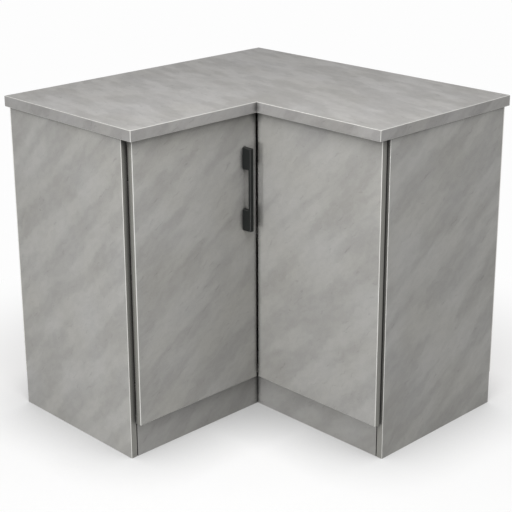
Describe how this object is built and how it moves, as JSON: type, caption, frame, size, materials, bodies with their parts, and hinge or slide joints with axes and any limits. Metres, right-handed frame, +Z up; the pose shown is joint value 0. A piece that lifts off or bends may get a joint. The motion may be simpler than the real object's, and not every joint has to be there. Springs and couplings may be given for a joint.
{
  "type": "corner base cabinet",
  "caption": "L-shaped corner base cabinet with one-piece worktop, plinths, an inner shelf and a bi-fold corner door on concealed hinges with a dark bar handle.",
  "frame": {"origin": "on the floor, under the middle of the square that the two arms fill in plan", "axes": "+Z up; the wall corner is at +X +Y; the left arm runs along the +Y wall and its leaf faces -Y; the right arm runs along the +X wall and its leaf faces -X"},
  "size_m": [0.9, 0.9, 0.85],
  "materials": {
    "concrete_laminate": "matt concrete-look laminate on particle board",
    "white_melamine": "matt white melamine on particle board",
    "white_hardboard": "white lacquered hardboard",
    "beech": "plain fluted dowel",
    "black_handle": "matt anthracite powder coat on die-cast zinc",
    "nickel_plated_steel": "satin nickel plate",
    "zinc_plated_steel": "bright zinc plate",
    "black_zinc_steel": "black passivated zinc plate",
    "clear_bumper": "clear soft plastic"
  },
  "bodies": {
    "carcass": {"worktop": "concrete_laminate", "left_side_panel": "concrete_laminate", "right_side_panel": "concrete_laminate", "bottom_panel": "white_melamine", "shelf": "white_melamine", "shelf_pins": "zinc_plated_steel", "left_back_panel": "white_hardboard", "right_back_panel": "white_hardboard", "left_corner_post": "white_melamine", "right_corner_post": "white_melamine", "left_front_rail": "white_melamine", "right_front_rail": "white_melamine", "left_back_rail": "white_melamine", "right_back_rail": "white_melamine", "rail_corner_plate": "zinc_plated_steel", "rail_corner_plate_screws": "zinc_plated_steel", "worktop_screws": "zinc_plated_steel", "left_plinth": "concrete_laminate", "right_plinth": "concrete_laminate", "dowels": "beech", "door_bumpers": "clear_bumper", "hinge_plate_screws": "zinc_plated_steel", "hinge_arm_screws": "zinc_plated_steel", "lower_hinge_plate": "nickel_plated_steel", "lower_hinge_arm": "nickel_plated_steel", "lower_hinge_arm_pin": "nickel_plated_steel", "upper_hinge_plate": "nickel_plated_steel", "upper_hinge_arm": "nickel_plated_steel", "upper_hinge_arm_pin": "nickel_plated_steel"},
    "left_leaf": {"left_door": "concrete_laminate", "handle": "black_handle", "handle_screws": "zinc_plated_steel", "hinge_cup_screws": "zinc_plated_steel", "left_fold_flap_screws": "zinc_plated_steel", "lower_hinge_cup": "nickel_plated_steel", "lower_hinge_cup_pin": "nickel_plated_steel", "lower_left_fold_flap": "black_zinc_steel", "lower_fold_pin": "black_zinc_steel", "upper_hinge_cup": "nickel_plated_steel", "upper_hinge_cup_pin": "nickel_plated_steel", "upper_left_fold_flap": "black_zinc_steel", "upper_fold_pin": "black_zinc_steel"},
    "hinge_cranks": {"lower_hinge_crank_links": "nickel_plated_steel", "lower_hinge_knee_pin": "nickel_plated_steel", "upper_hinge_crank_links": "nickel_plated_steel", "upper_hinge_knee_pin": "nickel_plated_steel"},
    "hinge_couplers": {"lower_hinge_coupler": "nickel_plated_steel", "upper_hinge_coupler": "nickel_plated_steel"},
    "right_leaf": {"right_door": "concrete_laminate", "right_fold_flap_screws": "zinc_plated_steel", "lower_right_fold_flap": "black_zinc_steel", "upper_right_fold_flap": "black_zinc_steel"}
  },
  "joints": [
    {"name": "leaf_swing", "type": "hinge", "parent": "carcass", "child": "left_leaf", "pos_m": [-0.4215, -0.019, 0.4], "axis": [0, 0, -1], "range_deg": [0, 110]},
    {"name": "crank_turn", "type": "hinge", "parent": "carcass", "child": "hinge_cranks", "pos_m": [-0.4035, -0.001, 0.4], "axis": [0, 0, -1], "range_deg": [0, 110]},
    {"name": "coupler_turn", "type": "hinge", "parent": "left_leaf", "child": "hinge_couplers", "pos_m": [-0.4045, -0.0115, 0.4], "axis": [0, 0, -1], "range_deg": [-110, 0]},
    {"name": "corner_fold", "type": "hinge", "parent": "left_leaf", "child": "right_leaf", "pos_m": [-0.016, -0.016, 0.4], "axis": [0, 0, 1], "range_deg": [0, 55]}
  ],
  "couplings": [
    {"joint": "crank_turn", "follows": "leaf_swing", "ratio": 1},
    {"joint": "coupler_turn", "follows": "leaf_swing", "ratio": -1},
    {"joint": "corner_fold", "follows": "leaf_swing", "ratio": 0.5}
  ]
}
